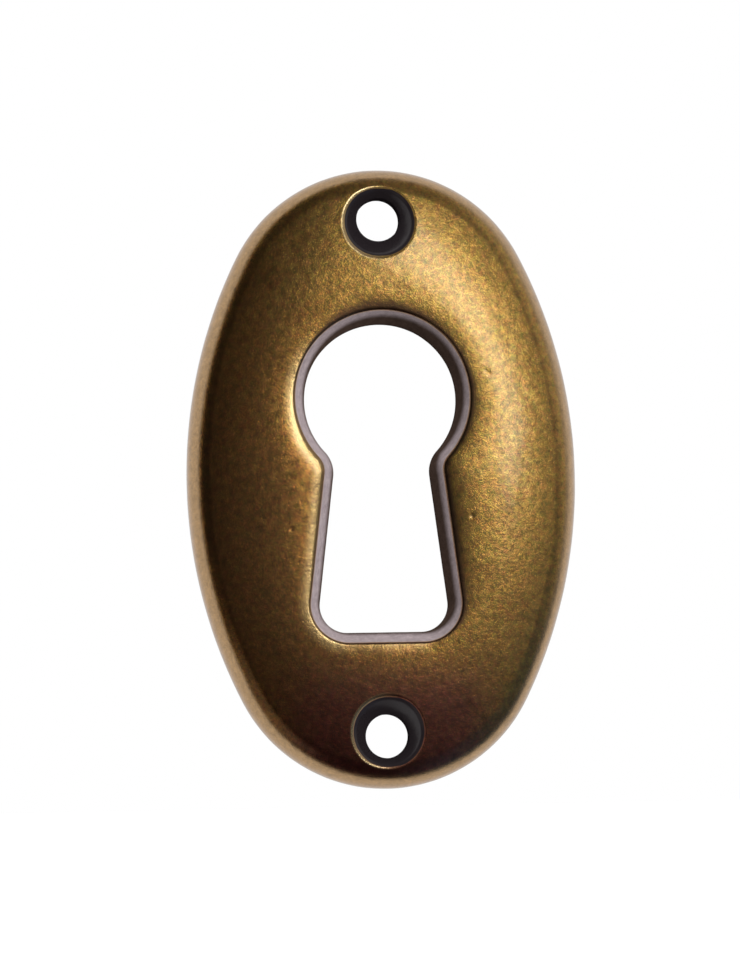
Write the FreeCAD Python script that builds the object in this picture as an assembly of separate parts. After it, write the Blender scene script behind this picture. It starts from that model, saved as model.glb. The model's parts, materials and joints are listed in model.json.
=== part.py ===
import FreeCAD, Part
import math
import os

# Keyhole escutcheon: one cast brass plate that covers the keyhole of a drawer or cabinet door.
# It stands upright as it is worn: its flat back lies in the plane y = 0, its crowned face looks
# towards -Y, and +Z runs up towards the round end of the keyhole.
# The origin is on the back, midway between the two screw holes. All sizes are millimetres.

# Outline of the plate: an oval of four tangent arcs
plate_length = 50.0
plate_width = 31.4

# How much tighter the ends of the oval are rounded than a half circle across the plate
end_tightening = 2.9

# Edge of the plate: a large rounding, and a short upright land between it and the back
rim_round = 2.5
rim_land = 0.25

# Crown of the face: how far its middle stands above the rim, and how full it is.
# A fullness of 2 is an even bow, and a higher one is flatter in the middle and falls near the rim.
crown_rise = 1.35
crown_fullness = 3.4

# Keyhole, as its edge runs on the back of the plate
bow_radius = 6.15
bow_centre_height = 6.3
throat_width = 7.84
splay_angle = 7.1
shoulder_round = 2.5
foot_depth = 12.45
foot_corner_round = 2.2

# Keyhole wall: straight for a short way from the back, then flared towards the face
wall_land = 0.8
wall_flare = 0.9

# Lip: the face dips towards the keyhole, down to a level edge, and rolls over softly at its crest.
# The drop counts from the lowest place of the face along that edge.
lip_drop = 0.08
lip_angle = 12.5
lip_crest_round = 1.2

# Two countersunk holes for wood screws, above and below the keyhole, and how far their
# centres lie from the ends of the plate
screw_end_distance = 4.2
screw_hole_diameter = 3.5
countersink_diameter = 5.7
countersink_angle = 90.0

# How far cutting shapes run past what they cut
overrun = 1.0

# Curves across and along the plate that carry the crowned face
crown_curves_across = 11
crown_curves_along = 17

# Places along the keyhole's front edge where the height of the face is read
edge_places = 80


half_length = plate_length / 2
half_width = plate_width / 2
end_radius = half_width - end_tightening
screw_height = half_length - screw_end_distance
throat_half_width = throat_width / 2
splay = math.tan(math.radians(splay_angle))
lip_slope = math.tan(math.radians(lip_angle))

# The rim's rounding meets the crown's slope at the ends of the plate, and needs this much height
end_slope = math.atan(crown_rise * crown_fullness / half_length)
rim_height = rim_round * math.tan((math.pi / 2 - end_slope) / 2) + rim_land


def crown_height(x, z):
    """Height of the crowned face over the back, before any edge is rounded."""
    share = math.hypot(x / half_width, z / half_length)
    return rim_height + crown_rise * (1 - share ** crown_fullness)


def point(x, z, height=0.0):
    return FreeCAD.Vector(x, -height, z)


def arc(start, middle, end):
    return Part.Arc(point(*start), point(*middle), point(*end)).toShape()


def line(start, end):
    return Part.makeLine(point(*start), point(*end))


def mirrored(place):
    return (-place[0], place[1])


def between(centre, radius, first, second):
    """Point of an arc halfway between two directions, given as angles."""
    angle = (first + second) / 2
    return (centre[0] + radius * math.cos(angle), centre[1] + radius * math.sin(angle))


def oval_outline():
    """Closed outline of four arcs, tangent to each other."""
    end_centre = half_length - end_radius
    side_radius = (half_width ** 2 + end_centre ** 2 - end_radius ** 2) / (2 * (half_width - end_radius))
    side_centre = half_width - side_radius
    angle = math.atan2(end_centre, -side_centre)
    x = side_centre + side_radius * math.cos(angle)
    z = side_radius * math.sin(angle)
    return Part.Wire([
        arc((x, -z), (half_width, 0), (x, z)),
        arc((x, z), (0, half_length), (-x, z)),
        arc((-x, z), (-half_width, 0), (-x, -z)),
        arc((-x, -z), (0, -half_length), (x, -z)),
    ])


def keyhole_outline(growth, shoulder, height):
    """Keyhole outline at a height over the back, grown outwards from its size on the back.

    The round part runs through a rounded shoulder into sides that splay towards the foot.
    """
    slant = math.hypot(1, splay)
    normal = (1 / slant, splay / slant)
    normal_angle = math.atan2(normal[1], normal[0])
    bow = bow_radius + growth
    side = throat_half_width + growth * slant
    corner = foot_corner_round + growth
    foot = -foot_depth - growth

    # Shoulder: an arc that touches the round part and the side line from outside
    reach = side + shoulder * slant
    middle = reach * splay + bow_centre_height
    rest = reach ** 2 + bow_centre_height ** 2 - (bow + shoulder) ** 2
    shoulder_z = (middle - math.sqrt(middle ** 2 - slant ** 2 * rest)) / slant ** 2
    shoulder_centre = (reach - splay * shoulder_z, shoulder_z)
    to_bow = math.atan2(bow_centre_height - shoulder_z, -shoulder_centre[0])
    to_side = normal_angle + math.pi
    bow_end = (shoulder_centre[0] + shoulder * math.cos(to_bow), shoulder_z + shoulder * math.sin(to_bow))
    side_top = (shoulder_centre[0] - shoulder * normal[0], shoulder_z - shoulder * normal[1])
    shoulder_middle = between(shoulder_centre, shoulder, to_bow, to_side)

    # Foot corner: an arc inside the side line and the foot line
    corner_z = foot + corner
    corner_centre = (side - splay * corner_z - corner * slant, corner_z)
    side_bottom = (corner_centre[0] + corner * normal[0], corner_z + corner * normal[1])
    foot_end = (corner_centre[0], foot)
    corner_middle = between(corner_centre, corner, normal_angle, -math.pi / 2)

    wire = Part.Wire([
        arc(mirrored(bow_end), (0, bow_centre_height + bow), bow_end),
        arc(bow_end, shoulder_middle, side_top),
        line(side_top, side_bottom),
        arc(side_bottom, corner_middle, foot_end),
        line(foot_end, mirrored(foot_end)),
        arc(mirrored(foot_end), mirrored(corner_middle), mirrored(side_bottom)),
        line(mirrored(side_bottom), mirrored(side_top)),
        arc(mirrored(side_top), mirrored(shoulder_middle), mirrored(bow_end)),
    ])
    wire.translate(point(0, 0, height))
    return wire


front_edge = keyhole_outline(wall_flare, shoulder_round - wall_flare, 0)
lowest_face = min(crown_height(place.x, place.z) for place in front_edge.discretize(edge_places))
lip_height = lowest_face - lip_drop


def space_over_crown():
    """Solid that fills the space in front of the crowned face."""
    def places(half, count):
        reach = half + overrun
        return [reach * (2 * index / (count - 1) - 1) for index in range(count)]

    grid = [
        [point(x, z, crown_height(x, z)) for z in places(half_length, crown_curves_along)]
        for x in places(half_width, crown_curves_across)
    ]
    surface = Part.BSplineSurface()
    surface.interpolate(grid)
    return surface.toShape().extrude(point(0, 0, 2 * (rim_height + crown_rise)))


def crown_face(plate):
    """The crowned face is the largest of the free-form ones."""
    free_form = [face for face in plate.Faces if isinstance(face.Surface, Part.BSplineSurface)]
    return max(free_form, key=lambda face: face.Area)


def make_blank():
    """The oval plate with its crown and its rounded rim, before anything is cut through it."""
    upright = Part.Face(oval_outline()).extrude(point(0, 0, rim_height + crown_rise + overrun))
    crowned = upright.cut(space_over_crown())
    return crowned.makeFillet(rim_round, crown_face(crowned).OuterWire.Edges)


def make_keyhole_cutter():
    """The keyhole's straight land, its flared wall and the dip of the lip, as one solid."""
    front_shoulder = shoulder_round - wall_flare
    on_land = keyhole_outline(0, shoulder_round, wall_land)
    at_lip = keyhole_outline(wall_flare, front_shoulder, lip_height)
    dip_width = 1.5 * (rim_height + crown_rise - lip_height) / lip_slope
    past_crest = keyhole_outline(wall_flare + dip_width, front_shoulder, lip_height + dip_width * lip_slope)
    land = Part.Face(keyhole_outline(0, shoulder_round, -overrun)).extrude(point(0, 0, wall_land + overrun))
    flare = Part.makeLoft([on_land, at_lip], True, True)
    dip = Part.makeLoft([at_lip, past_crest], True, True)
    return land.fuse([flare, dip])


def make_screw_cutter(z):
    """Bore and countersink of one screw hole, square to the back."""
    bore_radius = screw_hole_diameter / 2
    rim_radius = countersink_diameter / 2
    face_height = crown_height(0, z)
    spread = math.tan(math.radians(countersink_angle / 2))
    cone_foot = face_height - (rim_radius - bore_radius) / spread
    cone_length = face_height + overrun - cone_foot
    towards_face = point(0, 0, 1)
    bore = Part.makeCylinder(bore_radius, face_height + 2 * overrun, point(0, z, -overrun), towards_face)
    cone = Part.makeCone(bore_radius, bore_radius + cone_length * spread, cone_length,
                         point(0, z, cone_foot), towards_face)
    return bore.fuse(cone)


def make_escutcheon():
    """The finished plate: the keyhole is cut, its crest is softened, and the screw holes follow."""
    plate = make_blank().cut(make_keyhole_cutter())
    face = crown_face(plate)
    crest = [edge for wire in face.Wires if not wire.isSame(face.OuterWire) for edge in wire.Edges]
    plate = plate.makeFillet(lip_crest_round, crest)
    for z in (screw_height, -screw_height):
        plate = plate.cut(make_screw_cutter(z))
    return plate


os.makedirs("parts", exist_ok=True)
escutcheon = make_escutcheon()
escutcheon.exportStep("parts/escutcheon_plate.step")
print("lip height", round(lip_height, 3), "rim height", round(rim_height, 3))
print("valid", escutcheon.isValid(), "solids", len(escutcheon.Solids), "volume mm3", round(escutcheon.Volume, 1))
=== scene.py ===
import json
import math

import bmesh
import bpy
from mathutils import Matrix, Vector, kdtree, noise


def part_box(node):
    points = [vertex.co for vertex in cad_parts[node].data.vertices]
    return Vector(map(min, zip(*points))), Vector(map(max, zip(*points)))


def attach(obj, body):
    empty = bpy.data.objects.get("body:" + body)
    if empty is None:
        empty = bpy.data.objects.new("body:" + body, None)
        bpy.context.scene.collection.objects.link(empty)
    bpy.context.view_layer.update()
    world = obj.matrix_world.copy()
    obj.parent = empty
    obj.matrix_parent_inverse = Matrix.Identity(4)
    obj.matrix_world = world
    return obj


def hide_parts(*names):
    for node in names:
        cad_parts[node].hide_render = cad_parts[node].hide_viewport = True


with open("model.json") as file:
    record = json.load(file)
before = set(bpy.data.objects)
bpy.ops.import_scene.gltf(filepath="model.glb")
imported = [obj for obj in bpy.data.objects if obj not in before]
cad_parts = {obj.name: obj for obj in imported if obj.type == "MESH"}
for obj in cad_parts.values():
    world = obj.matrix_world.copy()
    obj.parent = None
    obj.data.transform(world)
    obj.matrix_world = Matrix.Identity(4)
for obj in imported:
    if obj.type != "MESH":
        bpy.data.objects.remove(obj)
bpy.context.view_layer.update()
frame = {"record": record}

# The plate is shaped in millimetres, in the frame's own axes: its flat back lies at y = 0, its face
# looks towards -Y, and a height over the back counts from there. It is scaled to metres at the end.
MM = 0.001

# Sizes that the frame gives
low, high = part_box("escutcheon_plate")
half_width = (high[0] - low[0]) / 2 / MM
half_length = (high[2] - low[2]) / 2 / MM
screw_holes = next(mount for mount in frame["record"]["mounts"] if mount["name"] == "screw_holes")
screw_height = screw_holes["dims"]["spacing_y_mm"] / 2
bore_radius = screw_holes["dims"]["hole_r_mm"]

# Outline, rim and crown of the casting
end_tightening = 2.9
end_radius = half_width - end_tightening
rim_round = 2.5
rim_height = 2.333
crown_rise = 1.35
crown_fullness = 3.4
back_edge_round = 0.12

# Keyhole
bow_radius = 6.15
bow_centre_height = 6.3
throat_half_width = 3.92
splay = math.tan(math.radians(7.1))
shoulder_round = 2.5
foot_depth = 12.45
foot_corner_round = 2.2
wall_land = 0.8
wall_flare = 0.9

# Lip round the keyhole: the face rolls down to a level edge. The drop counts from the lowest place of
# the face along that edge. A narrow roll at the edge and a wide, shallow dish make up the dip: each is
# given by the way in which it fades to a third, and the roll's share counts at the edge.
lip_drop = 0.17
lip_roll = 0.85
lip_dish = 3.1
roll_share = 0.45
dip_blend = 4
arris_round = 0.17
land_bend = 0.2

# Countersinks
countersink_radius = 2.85
countersink_arris_round = 0.26

# Unevenness of the cast surface: the size, the height and the layers of its waves and of its grain
wave_size = 2.6
wave_height = 0.007
wave_layers = 3
grain_size = 0.5
grain_height = 0.003
grain_layers = 2
layer_fading = 1
layer_ratio = 2

# Marks on the face: place across and along, length, width, lean in degrees and depth. They are sunk only
# into what stands higher than the mark level.
mark_level = 1
marks = (
    (7.0, -3.3, 0.5, 0.4, 30, 0.05),
    (8.5, 8.2, 0.7, 0.25, -50, 0.04),
    (-9.4, 4.1, 0.3, 0.25, 0, 0.025),
    (-6.1, -10.8, 0.3, 0.25, 60, 0.03),
    (-6.7, -14.0, 0.35, 0.25, 20, 0.025),
    (-8.5, 0.4, 0.3, 0.2, 0, 0.02),
    (-7.5, -4.2, 0.4, 0.35, 80, 0.035),
    (-7.9, 2.1, 1.3, 0.13, 65, 0.012),
    (4.1, -15.4, 1.2, 0.13, 20, 0.012),
    (0.0, -15.0, 1.0, 0.13, -35, 0.01),
)

# Spacing of the mesh on the face, and how far the rings reach before the grid takes over
face_spacing = 0.135
ring_spacing = 0.15
merge_distance = ring_spacing / 10
rim_width = 0.9
lip_width = 2.1
screw_seam_radius = 3.35
screw_seam_shift = 0.32
seam_gap = 0.6 * face_spacing
border_shift = 0.04
border_pace = 0.9

# Where the finish changes. Each pair says where a zone begins to fade and where it has gone: heights over
# the back, distances past an edge, or, for a side, a direction that counts from -1 to 1. What lies within
# a hair of an edge counts as on it.
hair = 0.01
back_fade = (0, 0.1)
rim_fade = (0.8, 1.15)
wall_below_lip = (0.2, 0.05)
face_below_lip = 0.1
screw_reach = 1
bore_fade = (0.01, 0.1)
sunk_fade = (-0.01, 0.06)

# Painted shade in the keyhole: dark towards the back of its wall, reaching higher and further towards
# the upper right. Along its edge a dark line of patina, widened above and to the right by painted shade
wall_shade_height = 1.9
wall_shade_lean = 0.5
wall_shade_fade = (-0.6, 0.4)
edge_dark_width = 0.2
edge_shade_above = 0.9
edge_shade_right = 0.5
edge_shade_focus = 4
edge_dark_core = 0.3

# Polish along the keyhole's lower left edge, and wear on the left of the countersinks' rims: their light
# colours also paint the lamp's highlight there. On the right of those rims the dark countersink
# reaches further, as painted shade
polish_and_highlight_side = (-0.9, -0.5)
polish_and_highlight_side_fade = (0.2, 0.9)
polish_and_highlight_fade = (0.15, 1.2)
wear_and_glint_side = (-0.4, 0.6)
wear_and_glint_place = 0.14
wear_and_glint_fade = (0.06, 0.18)
shaded_rim_width = 0.1
shaded_rim_side = (0, 0.7)

# Colours of the brass, its patina and its dirt, and of painted highlights, a painted reflection and painted
# shade
brown_brass = (0.48, 0.225, 0.052, 1)
yellow_brass = (0.60, 0.345, 0.078, 1)
reddish_brass = (0.38, 0.13, 0.07, 1)
polished_and_highlight_brass = (1.0, 0.68, 0.28, 1)
wear_and_glint_brass = (1.0, 0.72, 0.35, 1)
rim_brass = (0.52, 0.33, 0.15, 1)
dark_back = (0.14, 0.09, 0.04, 1)
pale_back = (0.33, 0.23, 0.12, 1)
edge_patina_and_shade = (0.16, 0.07, 0.05, 1)
wall_tarnish_and_reflection = (0.40, 0.33, 0.34, 1)
wall_painted_shade = (0.07, 0.045, 0.035, 1)
countersink_dirt_and_shade = (0.022, 0.017, 0.019, 1)

# Patterns of the finish: a cloud's scale counts its waves in a millimetre
patch_scale = 0.35
speckle_scale = 1.6
speckle_contrast = 2.4
tint_scale = 2.4
tint_strength = 0.5
rim_speckle = 0.5
wall_speckle = 0.6

# The face turns yellower in patches, and lighter and yellower to the right and upwards, which is a
# painted highlight tone on the side where the lamp falls. Towards the foot it turns reddish, but
# not at the sides, where the pair counts the square of the distance from the middle.
painted_light_to_right = 0.045
painted_light_upwards = 0.02
yellow_patches = 0.8
yellow_fade = (-0.1, 0.9)
foot_fade = (-13, -19)
foot_side_fade = (20, 100)

# Strength of the polished edge with its painted highlight and of the edge's patina with its painted
# shade, and roughness of the metal
polish_and_highlight_strength = 0.85
edge_patina_and_shade_strength = 0.7
face_roughness = 0.23
back_roughness = 0.25
polish_smoothing = 0.06
wear_smoothing = 0.04
lacquer = 0.8


def crown_height(x, z):
    share = math.hypot(x / half_width, z / half_length)
    return rim_height + crown_rise * (1 - share ** crown_fullness)


# Centres of the four arcs of the outline
end_centre = half_length - end_radius
side_radius = (half_width ** 2 + end_centre ** 2 - end_radius ** 2) / (2 * (half_width - end_radius))
side_centre = half_width - side_radius
side_angle = math.atan2(end_centre, -side_centre)


# Shoulder and foot corner of the keyhole: arcs that touch the slanted side of the throat. The shoulder
# touches the bow too, so its centre's height solves a quadratic.
slant = math.hypot(1, splay)
normal = (1 / slant, splay / slant)
normal_angle = math.atan2(normal[1], normal[0])
reach = throat_half_width + shoulder_round * slant
linear = reach * splay + bow_centre_height
constant = reach ** 2 + bow_centre_height ** 2 - (bow_radius + shoulder_round) ** 2
shoulder_z = (linear - math.sqrt(linear ** 2 - slant ** 2 * constant)) / slant ** 2
shoulder = (reach - splay * shoulder_z, shoulder_z)
to_bow = math.atan2(bow_centre_height - shoulder_z, -shoulder[0])
to_side = normal_angle + math.pi
shoulder_middle_z = shoulder_z + shoulder_round * math.sin((to_bow + to_side) / 2)
corner_z = foot_corner_round - foot_depth
corner = (throat_half_width - splay * corner_z - foot_corner_round * slant, corner_z)
corner_start = (corner[0] + foot_corner_round * normal[0], corner[1] + foot_corner_round * normal[1])


def inside_outline(x, z):
    """Distance inside the outline."""
    if math.atan2(abs(z), abs(x) - side_centre) <= side_angle:
        return side_radius - math.hypot(abs(x) - side_centre, z)
    return end_radius - math.hypot(x, abs(z) - end_centre)


def place(x, z, height):
    return Vector((x, -height, z))


def swing(plate, vert, centre, angle):
    """Carries a vertex round a centre in even steps and leaves an arc of edges behind it."""
    radius = math.hypot(vert.co.x - centre[0], vert.co.z - centre[1])
    steps = max(2, round(abs(angle) * radius / ring_spacing))
    made = bmesh.ops.spin(plate, geom=[vert], cent=(centre[0], 0, centre[1]), axis=(0, -1, 0),
                          angle=angle, steps=steps)
    return next(item for item in made["geom_last"] if isinstance(item, bmesh.types.BMVert))


def run(plate, vert, x, z):
    """Carries a vertex straight on in even steps."""
    way = place(x, z, 0) - vert.co
    count = max(2, round(way.length / ring_spacing))
    for _ in range(count):
        vert = bmesh.ops.extrude_vert_indiv(plate, verts=[vert])["verts"][0]
        vert.co += way / count
    return vert


class Ring:
    """A closed ring that the mesh grows from: each of its stations has a place and an outward direction."""

    def __init__(self, plate, verts):
        start = verts[0]
        ordered, edges = [start], [start.link_edges[0]]
        while True:
            vert = edges[-1].other_vert(ordered[-1])
            if vert is start:
                break
            ordered.append(vert)
            edges.append(next(other for other in vert.link_edges if other is not edges[-1]))
        station = plate.verts.layers.int["station"]
        for index, vert in enumerate(ordered):
            vert[station] = index
        self.plate = plate
        self.station = station
        self.edges = edges
        self.base = [(vert.co.x, vert.co.z) for vert in ordered]
        count = len(self.base)
        turn = sum(self.base[i - 1][0] * self.base[i][1] - self.base[i][0] * self.base[i - 1][1]
                   for i in range(count))
        self.outward = []
        for index in range(count):
            before = self.base[index - 1]
            after = self.base[(index + 1) % count]
            along = (after[0] - before[0], after[1] - before[1])
            length = math.hypot(*along) * math.copysign(1, turn)
            self.outward.append((along[1] / length, -along[0] / length))

    def at(self, index, growth):
        x, z = self.base[index]
        return x + self.outward[index][0] * growth, z + self.outward[index][1] * growth

    def settle(self, profile):
        """Puts the first ring in its place: profile gives growth and height at a station."""
        self.move({vert for edge in self.edges for vert in edge.verts}, profile)

    def move(self, verts, profile):
        for vert in verts:
            index = vert[self.station]
            growth, height = profile(index)
            vert.co = place(*self.at(index, growth), height)

    def grow(self, profile):
        """Adds one ring of faces, whose new edge follows the profile."""
        made = bmesh.ops.extrude_edge_only(self.plate, edges=self.edges)["geom"]
        verts = {item for item in made if isinstance(item, bmesh.types.BMVert)}
        self.edges = [item for item in made if isinstance(item, bmesh.types.BMEdge)
                      and item.verts[0] in verts and item.verts[1] in verts]
        self.move(verts, profile)


def fixed(growth, height):
    return lambda index: (growth, height)


def bent(start, corner, end, share):
    """Point of the soft bend that replaces a corner between two straight runs."""
    a, b, c = (1 - share) ** 2, 2 * share * (1 - share), share ** 2
    return tuple(a * s + b * k + c * e for s, k, e in zip(start, corner, end))


def outline_ring(plate):
    """The outline's four arcs."""
    x = side_centre + side_radius * math.cos(side_angle)
    z = side_radius * math.sin(side_angle)
    first = plate.verts.new(place(x, -z, 0))
    vert = first
    for side in (1, -1):
        vert = swing(plate, vert, (side * side_centre, 0), 2 * side_angle)
        vert = swing(plate, vert, (0, side * end_centre), math.pi - 2 * side_angle)
    verts = [v for v in plate.verts if not v.link_faces]
    bmesh.ops.remove_doubles(plate, verts=verts, dist=merge_distance)
    return Ring(plate, [v for v in plate.verts if not v.link_faces])


def keyhole_ring(plate):
    """The keyhole's edge on the back: one side is drawn from the top down, and mirrored."""
    known = set(plate.verts)
    vert = plate.verts.new(place(0, bow_centre_height + bow_radius, 0))
    vert = swing(plate, vert, (0, bow_centre_height), to_bow - math.pi - math.pi / 2)
    vert = swing(plate, vert, shoulder, to_side - to_bow)
    vert = run(plate, vert, *corner_start)
    vert = swing(plate, vert, corner, -math.pi / 2 - normal_angle)
    run(plate, vert, 0, -foot_depth)
    verts = [v for v in plate.verts if v not in known]
    edges = [edge for edge in plate.edges if edge.verts[0] not in known]
    bmesh.ops.mirror(plate, geom=verts + edges, matrix=Matrix.Identity(4), axis="X",
                     merge_dist=merge_distance)
    verts = [v for v in plate.verts if v not in known]
    bmesh.ops.remove_doubles(plate, verts=verts, dist=merge_distance)
    return Ring(plate, [v for v in plate.verts if v not in known])


def screw_ring(plate, z):
    """The edge of a screw hole on the back."""
    count = round(2 * math.pi * countersink_radius / ring_spacing)
    upright = Matrix.Translation(place(0, z, 0)) @ Matrix.Rotation(math.pi / 2, 4, "X")
    made = bmesh.ops.create_circle(plate, segments=count, radius=bore_radius, cap_ends=False,
                                   matrix=upright)
    return Ring(plate, made["verts"])


def ball_rolls(ring):
    """For each station of the outline, the height of a ball that rounds the rim and how far in it goes."""
    rolls = []
    steps = 40
    for index in range(len(ring.base)):
        rests = []
        for step in range(steps + 1):
            across = rim_round * step / steps
            height = crown_height(*ring.at(index, -across))
            rests.append((height - math.sqrt(rim_round ** 2 - (rim_round - across) ** 2), across))
        rolls.append(min(rests))
    return rolls


def round_back_edge(ring, side):
    """The small rounding where the back meets a wall: side is 1 at a hole and -1 at the outline."""
    steps = 3
    for step in range(1, steps + 1):
        angle = math.pi / 2 * step / steps
        growth = side * back_edge_round * (1 - math.sin(angle))
        ring.grow(fixed(growth, back_edge_round * (1 - math.cos(angle))))


def grow_rim(ring, rolls):
    """Rounds the plate's edge from the back up over the rim."""
    round_back_edge(ring, -1)
    ring.grow(lambda index: (0, (back_edge_round + rolls[index][0]) / 2))
    ring.grow(lambda index: (0, rolls[index][0]))
    end = math.acos(1 - rim_width / rim_round)
    steps = round(end * rim_round / face_spacing)
    for step in range(1, steps + 1):
        angle = end * step / steps
        inset = rim_round * (1 - math.cos(angle))
        ring.grow(lambda index: (-inset, rolls[index][0] + rim_round * math.sin(angle)))


def grow_keyhole(ring, lip_height, height_at):
    """Draws the keyhole's wall from the back to the face, round its arris and up the lip."""
    def lip(growth):
        return lambda index: (growth, height_at(*ring.at(index, growth)))

    round_back_edge(ring, 1)
    corner = (wall_flare, lip_height)
    rise = lip_height - wall_land
    wall_length = math.hypot(wall_flare, rise)
    wall_end = (wall_flare - arris_round * wall_flare / wall_length,
                lip_height - arris_round * rise / wall_length)
    lip_start = wall_flare + arris_round
    bend_start = (0, wall_land - land_bend)
    bend_end = (land_bend * wall_flare / rise, wall_land + land_bend)
    bend_steps = 4
    for step in range(bend_steps + 1):
        ring.grow(fixed(*bent(bend_start, (0, wall_land), bend_end, step / bend_steps)))
    steps = round(wall_length / face_spacing)
    for step in range(1, steps + 1):
        ring.grow(fixed(*(b + (e - b) * step / steps for b, e in zip(bend_end, wall_end))))
    for step in range(1, bend_steps + 1):
        ring.grow(lambda index: bent(wall_end, corner, lip(lip_start)(index), step / bend_steps))
    steps = round((lip_width - lip_start) / face_spacing)
    for step in range(1, steps + 1):
        ring.grow(lip(lip_start + (lip_width - lip_start) * step / steps))


def grow_screw_hole(ring, z, height_at):
    """Draws the bore, the countersink and the rim of a screw hole, rounded as by wear."""
    round_back_edge(ring, 1)
    foot = crown_height(0, z) - (countersink_radius - bore_radius)
    seam_z = z - math.copysign(screw_seam_shift, z)

    def from_seam_centre(index, growth):
        x, z = ring.at(index, growth)
        return math.hypot(x, z - seam_z)

    # The cone rises as fast as it widens, so its rim is where the face is as far over its foot
    tries = 20
    rims, seams = [], []
    for index in range(len(ring.base)):
        growth = countersink_radius - bore_radius
        for _ in range(tries):
            growth += (height_at(*ring.at(index, growth)) - foot - growth) / 2
        rims.append(growth)
        while from_seam_centre(index, growth) < screw_seam_radius:
            growth += face_spacing / tries
        seams.append(growth)
    steps = 5
    for step in range(1, steps + 1):
        ring.grow(fixed(0, back_edge_round + (foot - back_edge_round) * step / steps))
    soft = countersink_arris_round
    steps = 10
    for step in range(1, steps + 1):
        def cone(index):
            growth = (rims[index] - soft) * step / steps
            return growth, foot + growth
        ring.grow(cone)
    steps = 7
    for step in range(1, steps + 1):
        def arris(index):
            rim = rims[index]
            start = (rim - soft, foot + rim - soft)
            end = (rim + soft, height_at(*ring.at(index, rim + soft)))
            return bent(start, (rim, foot + rim), end, step / steps)
        ring.grow(arris)
    steps = 4
    for step in range(1, steps + 1):
        def out(index):
            start = rims[index] + soft
            growth = start + (seams[index] - start) * step / steps
            return growth, height_at(*ring.at(index, growth))
        ring.grow(out)


def tree_of(ring, low=-math.inf, high=math.inf):
    """Finds the station nearest to a place, of those between two heights along the plate."""
    places = [(index, x, z) for index, (x, z) in enumerate(ring.base) if low <= z <= high]
    tree = kdtree.KDTree(len(places))
    for index, x, z in places:
        tree.insert((x, 0, z), index)
    tree.balance()
    return tree


def fill(plate, edges, facing):
    """Fills what lies between loops of edges: facing is -1 on the face and 1 on the back."""
    made = bmesh.ops.triangle_fill(plate, use_beauty=True, use_dissolve=False, edges=edges,
                                   normal=(0, facing, 0))
    return [item for item in made["geom"] if isinstance(item, bmesh.types.BMFace)]


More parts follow.
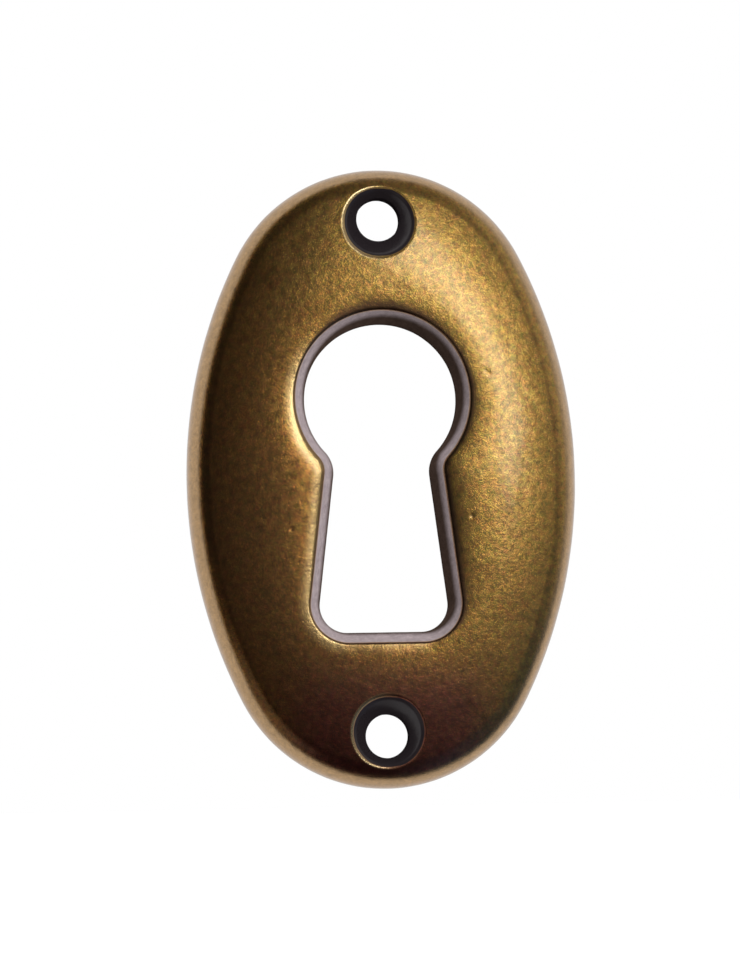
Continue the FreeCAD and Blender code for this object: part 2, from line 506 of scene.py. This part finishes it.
def shape_plate():
    """The whole plate as one closed mesh."""
    plate = bmesh.new()
    plate.verts.layers.int.new("station")
    rim = outline_ring(plate)
    keyhole = keyhole_ring(plate)
    screws = {z: screw_ring(plate, z) for z in (screw_height, -screw_height)}
    rings = [rim, keyhole, *screws.values()]
    back_edges = [edge for ring in rings for edge in ring.edges]
    rolls = ball_rolls(rim)
    by_rim, by_keyhole = tree_of(rim), tree_of(keyhole)

    edge_heights = [crown_height(*keyhole.at(index, wall_flare)) for index in range(len(keyhole.base))]
    lip_height = min(edge_heights) - lip_drop
    by_parts = (tree_of(keyhole, low=shoulder_middle_z), tree_of(keyhole, high=shoulder_middle_z))

    def dip_at(x, z):
        """How far the face dips: the dips towards the keyhole's two parts blend past the shoulders."""
        dips = []
        for tree in by_parts:
            _, index, distance = tree.find((x, 0, z))
            away = distance - wall_flare
            roll = roll_share * math.exp(-away / lip_roll)
            dish = (1 - roll_share) * math.exp(-away / lip_dish)
            dips.append((edge_heights[index] - lip_height) * (roll + dish))
        return sum(dip ** (dip_blend + 1) for dip in dips) / sum(dip ** dip_blend for dip in dips)

    def height_at(x, z):
        """Height of the face: the crown, rounded down at the rim and dipped towards the keyhole."""
        height = crown_height(x, z) - dip_at(x, z)
        inset = inside_outline(x, z)
        if inset < rim_round:
            centre, across = rolls[by_rim.find((x, 0, z))[1]]
            if inset < across:
                rounded = centre + math.sqrt(max(rim_round ** 2 - (rim_round - inset) ** 2, 0))
                height = min(height, rounded)
        return height

    rim.settle(fixed(-back_edge_round, 0))
    for ring in rings[1:]:
        ring.settle(fixed(back_edge_round, 0))
    grow_rim(rim, rolls)
    grow_keyhole(keyhole, lip_height, height_at)
    for z, ring in screws.items():
        grow_screw_hole(ring, z, height_at)

    # A fine grid carries the face between the rings
    known = set(plate.verts)
    across = math.ceil(2 * half_width / face_spacing)
    along = math.ceil(2 * half_length / face_spacing)
    upright = Matrix.Rotation(math.pi / 2, 4, "X") @ Matrix.Diagonal((half_width, half_length, 1, 1))
    bmesh.ops.create_grid(plate, x_segments=across, y_segments=along, size=1, matrix=upright)

    def past_keyhole(x, z):
        """How far a place is past the lip's last ring."""
        return -1 if in_keyhole(x, z) else by_keyhole.find((x, 0, z))[2] - lip_width

    def past_others(x, z):
        """How far a place is past the last rings of the rim and the screw holes."""
        seam_z = abs(z) - screw_height + screw_seam_shift
        return min(inside_outline(x, z) - rim_width, math.hypot(x, seam_z) - screw_seam_radius)

    spare = [vert for vert in plate.verts if vert not in known
             and min(past_keyhole(vert.co.x, vert.co.z), past_others(vert.co.x, vert.co.z)) < seam_gap]
    # Corners where the grid only touches itself and stray edges go too, so that its edge is plain loops
    while spare:
        bmesh.ops.delete(plate, geom=spare, context="VERTS")
        spare = [vert for vert in plate.verts if vert not in known
                 and (sum(edge.is_boundary for edge in vert.link_edges) != 2 * vert.is_boundary
                      or any(edge.is_wire for edge in vert.link_edges) or not vert.link_edges)]
    grid = [vert for vert in plate.verts if vert not in known]
    for vert in grid:
        vert.co.y = -height_at(vert.co.x, vert.co.z)

    # The borders are made uneven, because a fill along a straight row leaves slivers
    borders = {vert for edge in keyhole.edges for vert in edge.verts}
    borders.update(vert for vert in grid if vert.is_boundary)
    for vert in borders:
        vert.co += noise.noise_vector(vert.co / face_spacing * border_pace) * border_shift
        vert.co.y = -height_at(vert.co.x, vert.co.z)

    # The seams between the grid and the rings
    around_keyhole = list(keyhole.edges)
    around_grid = [edge for ring in rings if ring is not keyhole for edge in ring.edges]
    for edge in plate.edges:
        if edge.is_boundary and edge.verts[0] not in known:
            middle = (edge.verts[0].co + edge.verts[1].co) / 2
            inner = past_keyhole(middle.x, middle.z) < past_others(middle.x, middle.z)
            (around_keyhole if inner else around_grid).append(edge)
    for seam in (around_keyhole, around_grid):
        faces = fill(plate, seam, -1)
        filled = set(faces)
        inner = [edge for edge in plate.edges if edge.link_faces and filled.issuperset(edge.link_faces)]
        bmesh.ops.beautify_fill(plate, faces=faces, edges=inner, method="ANGLE")
    fill(plate, back_edges, 1)
    bmesh.ops.recalc_face_normals(plate, faces=plate.faces)
    mark_zones(plate, keyhole, by_keyhole, lip_height, height_at)
    weather(plate)
    return plate


def eased(value, low, high):
    share = min(max((value - low) / (high - low), 0), 1)
    return share * share * (3 - 2 * share)


def mark_zones(plate, keyhole, by_keyhole, lip_height, height_at):
    """Writes where the finish changes: rim, keyhole wall, countersinks and bores, edges and back."""
    names = ("rim", "wall", "rear", "edge", "polish", "sunk", "bore", "worn", "back")
    zones = {name: plate.verts.layers.float.new(name) for name in names}
    foot = crown_height(0, screw_height) - (countersink_radius - bore_radius)
    for vert in plate.verts:
        x, height, z = vert.co.x, -vert.co.y, vert.co.z
        vert[zones["back"]] = 1 - eased(height, *back_fade)
        vert[zones["rim"]] = 1 - eased(inside_outline(x, z), *rim_fade)

        # The keyhole's wall and edge
        _, station, distance = by_keyhole.find((x, 0, z))
        right, up = keyhole.outward[station]
        past_edge = distance - wall_flare
        if past_edge < hair and hair < height < lip_height + hair:
            # The back of the wall is painted shade, rising towards the upper right
            wall_shade_top = wall_shade_height + wall_shade_lean * (right + up)
            vert[zones["wall"]] = 1 - eased(height, *(lip_height - below for below in wall_below_lip))
            vert[zones["rear"]] = 1 - eased(height, *(wall_shade_top + past for past in wall_shade_fade))
        if height > lip_height - face_below_lip:
            # The edge's dark line is patina, widened above and to the right by painted shade
            width = edge_dark_width + edge_shade_above * max(up, 0) ** edge_shade_focus
            width += edge_shade_right * max(right, 0) ** edge_shade_focus
            vert[zones["edge"]] = 1 - eased(past_edge, edge_dark_core * width, width)
            # Polish on the lower left of the keyhole's edge, whose light colour also paints the lamp's
            # highlight there
            polish_and_highlight_share = eased(polish_and_highlight_side[0] * right + polish_and_highlight_side[1] * up, *polish_and_highlight_side_fade)
            vert[zones["polish"]] = polish_and_highlight_share * (1 - eased(past_edge, *polish_and_highlight_fade))

        # The screw holes
        from_screw = math.hypot(x, abs(z) - screw_height)
        if from_screw < countersink_radius + screw_reach and height > hair:
            # Counts outwards from the rim of the countersink, as the cone would stand over the face
            past_rim = foot + from_screw - bore_radius - height_at(x, z)
            # Painted shade widens the dark countersink over the right of its rim
            shaded_rim = shaded_rim_width * eased(x / countersink_radius, *shaded_rim_side)
            # Wear on the left of the rim, whose light colour also paints a glint where the lamp is
            # reflected
            worn = eased(-x / countersink_radius, *wear_and_glint_side)
            vert[zones["bore"]] = 1 - eased(from_screw - bore_radius, *bore_fade)
            vert[zones["sunk"]] = 1 - eased(past_rim - shaded_rim, *sunk_fade)
            vert[zones["worn"]] = worn * (1 - eased(abs(past_rim - wear_and_glint_place), *wear_and_glint_fade))


def weather(plate):
    """Makes the cast surface uneven and sinks the marks into the face."""
    plate.normal_update()
    for vert in plate.verts:
        waves = noise.fractal(vert.co / wave_size, layer_fading, layer_ratio, wave_layers) * wave_height
        grain = noise.fractal(vert.co / grain_size, layer_fading, layer_ratio, grain_layers) * grain_height
        vert.co += vert.normal * (waves + grain)
        for x, z, length, width, lean, depth in marks:
            across, along = vert.co.x - x, vert.co.z - z
            if abs(across) < length and abs(along) < length and vert.co.y < -mark_level:
                turn = math.radians(lean)
                lengthwise = (across * math.cos(turn) + along * math.sin(turn)) / (length / 2)
                crosswise = (along * math.cos(turn) - across * math.sin(turn)) / (width / 2)
                vert.co.y += depth * max(1 - lengthwise ** 2 - crosswise ** 2, 0)


def in_keyhole(x, z):
    """Whether a place is inside the keyhole, shoulders and corners left aside."""
    if math.hypot(x, z - bow_centre_height) < bow_radius:
        return True
    return -foot_depth < z < bow_centre_height and abs(x) < throat_half_width - splay * z


def finish_plate():
    plate = shape_plate()
    bmesh.ops.scale(plate, vec=(MM, MM, MM), verts=plate.verts)
    mesh = bpy.data.meshes.new("cast_plate")
    plate.to_mesh(mesh)
    plate.free()
    mesh.shade_smooth()
    piece = bpy.data.objects.new("cast_plate", mesh)
    bpy.context.scene.collection.objects.link(piece)
    return piece


class Value:
    """A shader socket in a sum: an expression on it adds the Math nodes that work it out."""

    def __init__(self, nodes, socket):
        self.nodes = nodes
        self.socket = socket

    def math(self, operation, first, second):
        return self.nodes.node("ShaderNodeMath", {"operation": operation}, {0: first, 1: second})

    def __add__(self, other):
        return self.math("ADD", self, other)

    def __radd__(self, other):
        return self.math("ADD", other, self)

    def __sub__(self, other):
        return self.math("SUBTRACT", self, other)

    def __rsub__(self, other):
        return self.math("SUBTRACT", other, self)

    def __mul__(self, other):
        return self.math("MULTIPLY", self, other)

    def __rmul__(self, other):
        return self.math("MULTIPLY", other, self)


class Nodes:
    """The node tree of one finish."""

    def __init__(self, owner):
        owner.use_nodes = True
        self.tree = owner.node_tree
        self.tree.nodes.clear()

    def node(self, kind, settings=None, inputs=None, output=0):
        """Adds a node, its settings first and then the values or links of its sockets. Several outputs
        are asked for as a tuple."""
        made = self.tree.nodes.new(kind)
        for name, value in (settings or {}).items():
            setattr(made, name, value)
        for key, value in (inputs or {}).items():
            if isinstance(value, Value):
                self.tree.links.new(value.socket, made.inputs[key])
            else:
                made.inputs[key].default_value = value
        if isinstance(output, tuple):
            return [Value(self, made.outputs[name]) for name in output]
        return Value(self, made.outputs[output])

    def end(self, kind, surface):
        """Ends the tree in its output."""
        self.tree.links.new(surface.socket, self.tree.nodes.new(kind).inputs["Surface"])

    def blend(self, share, first, second, how="MIX"):
        """Mixes two colours."""
        settings = {"data_type": "RGBA", "blend_type": how}
        return self.node("ShaderNodeMix", settings, {0: share, 6: first, 7: second}, output=2)

    def ease(self, value, low, high, start=0, end=1):
        """Goes softly from start to end as a value goes from low to high."""
        inputs = {"Value": value, "From Min": low, "From Max": high, "To Min": start, "To Max": end}
        return self.node("ShaderNodeMapRange", {"interpolation_type": "SMOOTHSTEP"}, inputs)


def antique_brass():
    """Cast brass under a brown-black patina, abraded back on the face, with a thin lacquer; its colours
    also paint a lit side, highlights, a reflection and shade.
    """
    material = bpy.data.materials.new("antique_brass")
    nodes = Nodes(material)
    where = nodes.node("ShaderNodeTexCoord", output="Object")
    where = nodes.node("ShaderNodeVectorMath", {"operation": "SCALE"}, {0: where, "Scale": 1 / MM})

    def cloud(scale, detail=2, roughness=0.5, output="Fac"):
        inputs = {"Vector": where, "Scale": scale, "Detail": detail, "Roughness": roughness}
        return nodes.node("ShaderNodeTexNoise", None, inputs, output)

    def zone(name):
        return nodes.node("ShaderNodeAttribute", {"attribute_name": name}, output="Fac")

    # The face is browner on the left and yellower in patches; lighter and yellower towards the upper
    # right, where the lamp falls, as a painted highlight tone; and reddish at the foot
    patches = cloud(patch_scale, 3)
    speckle = cloud(speckle_scale, 4, 0.9)
    speckle_shade = 1 + (speckle - 0.5) * speckle_contrast
    tint = cloud(tint_scale, 3, 0.85, "Color")
    across, along = nodes.node("ShaderNodeSeparateXYZ", None, {0: where}, output=("X", "Z"))
    face_tone_and_painted_light = across * painted_light_to_right + along * painted_light_upwards + patches * yellow_patches
    face_tone_and_painted_light = nodes.ease(face_tone_and_painted_light, *yellow_fade)
    face = nodes.blend(face_tone_and_painted_light, brown_brass, yellow_brass)
    foot = nodes.ease(along, *foot_fade) * nodes.ease(across * across, *foot_side_fade, 1, 0)
    face = nodes.blend(foot, face, reddish_brass)
    face = nodes.blend(1, face, speckle_shade, "MULTIPLY")
    face = nodes.blend(tint_strength, face, tint, "OVERLAY")
    # The polished lower left edge: its light colour also paints a stronger highlight where the lamp is
    # reflected
    face = nodes.blend(zone("polish") * polish_and_highlight_strength, face, polished_and_highlight_brass)
    # Patina along the keyhole's edge, widened above and to the right into painted shade
    face = nodes.blend(zone("edge") * edge_patina_and_shade_strength, face, edge_patina_and_shade)

    # Rim, wall, back and screw holes
    rim = nodes.blend(rim_speckle, rim_brass, speckle_shade, "MULTIPLY")
    # The wall's lilac grey paints a pale surround's reflection on its tarnish, and its dark back is painted
    # shade
    wall = nodes.blend(zone("rear"), wall_tarnish_and_reflection, wall_painted_shade)
    wall = nodes.blend(wall_speckle, wall, speckle_shade, "MULTIPLY")
    back = nodes.blend(patches, dark_back, pale_back)
    back = nodes.blend(1, back, speckle_shade, "MULTIPLY")
    colour = nodes.blend(zone("rim"), face, rim)
    colour = nodes.blend(zone("wall"), colour, wall)
    colour = nodes.blend(zone("back"), colour, back)
    # Wear on the left of the countersinks' rims, lightened into a painted glint
    colour = nodes.blend(zone("worn"), colour, wear_and_glint_brass)
    # The dark countersinks: dirt in them, widened over the right of their rims by painted shade
    colour = nodes.blend(zone("sunk"), colour, countersink_dirt_and_shade)

    # The keyhole's wall, painted with a reflection and with shade, and the dirt in the screw holes are
    # matt, and the bores have no lacquer
    metal_share = 1 - zone("wall") - zone("sunk") * (1 - zone("wall"))
    smoothed = zone("polish") * polish_smoothing + zone("worn") * wear_smoothing
    bump = {"Strength": 0.8, "Distance": 0.03 * MM, "Height": speckle}
    shader = nodes.node("ShaderNodeBsdfPrincipled", None, {
        "Base Color": colour,
        "Metallic": metal_share,
        "Roughness": face_roughness + zone("back") * back_roughness - smoothed,
        "Specular IOR Level": 0.0,
        "Coat Weight": lacquer * (1 - zone("wall")) * (1 - zone("bore")),
        "Coat Roughness": 0.15,
        "Coat IOR": 1.6,
        "Normal": nodes.node("ShaderNodeBump", None, bump),
    })
    nodes.end("ShaderNodeOutputMaterial", shader)
    return material


def direction(azimuth, elevation):
    """Direction from the plate: azimuth counts to the right from straight in front, elevation upwards."""
    return Vector((math.sin(azimuth) * math.cos(elevation), -math.cos(azimuth) * math.cos(elevation),
                   math.sin(elevation)))


def facing_plate(azimuth, elevation, roll):
    """Turns a camera or a lamp that stands in that direction towards the plate."""
    turn = direction(azimuth, elevation).to_track_quat("Z", "Y").to_matrix()
    return turn @ Matrix.Rotation(-roll, 3, "Z")


def photo_camera():
    """The camera at the photograph's viewing angle: slightly to the left of the face and below it."""
    distance = 350 * MM
    azimuth = math.radians(-4.5)
    elevation = math.radians(-4.0)
    roll = math.radians(1.06)
    photo_width = 740
    photo_height = 969
    plate_centre = (380.9, 478.5)
    pixels_per_mm = 12.386
    sensor_width = 36

    turned = facing_plate(azimuth, elevation, roll)
    right, up = turned.col[0], turned.col[1]
    off_centre = right * (photo_width / 2 - plate_centre[0]) - up * (photo_height / 2 - plate_centre[1])
    aim = off_centre * MM / pixels_per_mm
    view = bpy.data.cameras.new("view")
    view.sensor_fit = "HORIZONTAL"
    view.sensor_width = sensor_width
    view.lens = sensor_width * distance / MM / (photo_width / pixels_per_mm)
    view.clip_start = 0.01
    view.clip_end = 10
    camera = bpy.data.objects.new("view", view)
    place_of_camera = aim + direction(azimuth, elevation) * distance
    camera.matrix_world = Matrix.Translation(place_of_camera) @ turned.to_4x4()
    bpy.context.scene.collection.objects.link(camera)
    bpy.context.scene.camera = camera


def lamp(name, azimuth, elevation, roll, distance, width, height, radiance, colour):
    """A soft rectangular lamp, given by where it stands, its size and its brightness."""
    light = bpy.data.lights.new(name, "AREA")
    light.shape = "RECTANGLE"
    light.size = width
    light.size_y = height
    light.energy = radiance * math.pi * width * height
    light.color = colour
    thing = bpy.data.objects.new(name, light)
    turn = facing_plate(math.radians(azimuth), math.radians(elevation), math.radians(roll)).to_4x4()
    away = direction(math.radians(azimuth), math.radians(elevation)) * distance
    thing.matrix_world = Matrix.Translation(away) @ turn
    thing.visible_camera = False
    bpy.context.scene.collection.objects.link(thing)


# Colours of the room that the metal reflects. It is bright on the right and dark on the left.
white = (1, 1, 1, 1)
pale_backdrop = (0.70, 0.68, 0.68, 1)
right_wall = (0.21, 0.20, 0.20, 1)
left_wall = (0.004, 0.006, 0.015, 1)
shaded_right = (0.05, 0.05, 0.06, 1)
shaded_left = (0.008, 0.009, 0.012, 1)
low_right = (0.06, 0.085, 0.13, 1)
low_left = (0.018, 0.013, 0.018, 1)
high_right = (0.12, 0.11, 0.11, 1)
high_left = (0.02, 0.02, 0.025, 1)
far_right_glow = (0.40, 0.39, 0.37, 1)
far_left_glow = (0.17, 0.16, 0.15, 1)


def studio_world():
    """White to the camera, plain soft light for the floor, and a room for the metal to reflect."""
    world = bpy.data.worlds.new("studio")
    nodes = Nodes(world)
    ease, blend = nodes.ease, nodes.blend
    # A direction counts from -1 to 1: across to the right, depth away from the camera, height upwards
    out = nodes.node("ShaderNodeTexCoord", output="Generated")
    across, depth, height = nodes.node("ShaderNodeSeparateXYZ", None, {0: out}, output=("X", "Y", "Z"))
    room = blend(ease(across, -0.46, 0.36), left_wall, right_wall)
    room = blend(ease(across, 0.4, 0.55) * ease(height, -0.02, 0.14, 0.6, 0), room, shaded_right)
    room = blend(ease(across, -0.35, 0.05, 0.8, 0) * ease(height, 0.06, 0.26), room, shaded_left)
    low = blend(ease(across, 0.1, 0.5), low_left, low_right)
    room = blend(ease(height, -0.24, -0.04), low, room)
    high = blend(ease(across, -0.3, 0.2), high_left, high_right)
    room = blend(ease(height, 0.3, 0.8), room, high)
    room = blend(ease(across + height * 0.5, 0.75, 1.1), room, far_right_glow)
    far_left = across * -0.63 + depth * -0.57 + height * -0.53
    room = blend(ease(far_left, 0.93, 0.99), room, far_left_glow)
    room = blend(ease(depth - across * 0.2, -0.2, 0.1), room, pale_backdrop)

    # What isn't a reflection gets plain soft light, more of it from the upper right in front
    soft = ease(across * 0.8 + height * 0.8 - depth * 0.4, -0.7, 0.7, 0.3, 1.25)
    reflected, seen = nodes.node("ShaderNodeLightPath", output=("Is Glossy Ray", "Is Camera Ray"))
    colour = blend(seen, blend(reflected, soft, room), white)
    nodes.end("ShaderNodeOutputWorld", nodes.node("ShaderNodeBackground", None, {"Color": colour}))
    bpy.context.scene.world = world


def pale_floor():
    """A pale floor under the plate, which only the camera and shadows see."""
    level = -32 * MM
    reach = 1.2
    paper = (0.88, 0.88, 0.88, 1)
    lift = 0.25

    ground = bmesh.new()
    bmesh.ops.create_grid(ground, x_segments=1, y_segments=1, size=reach,
                          matrix=Matrix.Translation((0, 0, level)))
    mesh = bpy.data.meshes.new("floor")
    ground.to_mesh(mesh)
    ground.free()
    floor = bpy.data.objects.new("floor", mesh)
    bpy.context.scene.collection.objects.link(floor)
    material = bpy.data.materials.new("pale_floor")
    nodes = Nodes(material)
    seen = nodes.node("ShaderNodeLightPath", output="Is Camera Ray")
    matt = nodes.node("ShaderNodeBsdfDiffuse", None, {"Color": paper})
    glow = nodes.node("ShaderNodeEmission", None, {"Color": white, "Strength": seen * lift})
    nodes.end("ShaderNodeOutputMaterial", nodes.node("ShaderNodeAddShader", None, {0: matt, 1: glow}))
    floor.data.materials.append(material)
    floor.visible_glossy = False
    floor.visible_diffuse = False


piece = finish_plate()
piece.data.materials.append(antique_brass())
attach(piece, "root")
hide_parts("escutcheon_plate")

photo_camera()
lamp("window", azimuth=13.5, elevation=12.3, roll=-37, distance=0.9, width=0.115, height=0.31,
     radiance=3.7, colour=(0.95, 1, 1.0))
studio_world()
pale_floor()
bpy.context.scene.view_settings.view_transform = "Standard"
